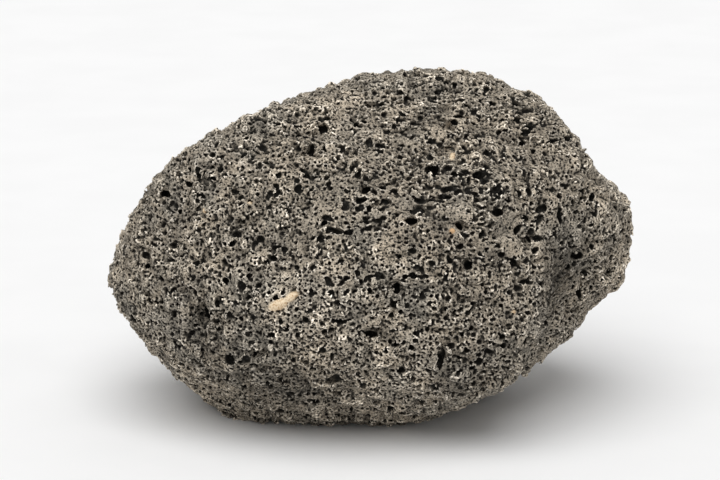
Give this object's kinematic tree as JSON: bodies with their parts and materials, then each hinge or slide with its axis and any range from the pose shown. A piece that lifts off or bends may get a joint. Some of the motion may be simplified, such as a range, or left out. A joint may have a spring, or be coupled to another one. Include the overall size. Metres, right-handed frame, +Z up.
{
  "type": "lava rock",
  "caption": "Rounded natural lump of dark vesicular basalt, full of open pores, with one flat broken face that it rests on.",
  "frame": {"origin": "middle of the bounding box, on the plane that the rock rests on", "axes": "+Z up from the flat resting face, +X along the rock's longest side, -Y towards its front"},
  "size_m": [0.131, 0.096, 0.086],
  "materials": {
    "basalt": "rough, porous, matt"
  },
  "bodies": {
    "root": {"lava_rock": "basalt"}
  },
  "joints": []
}
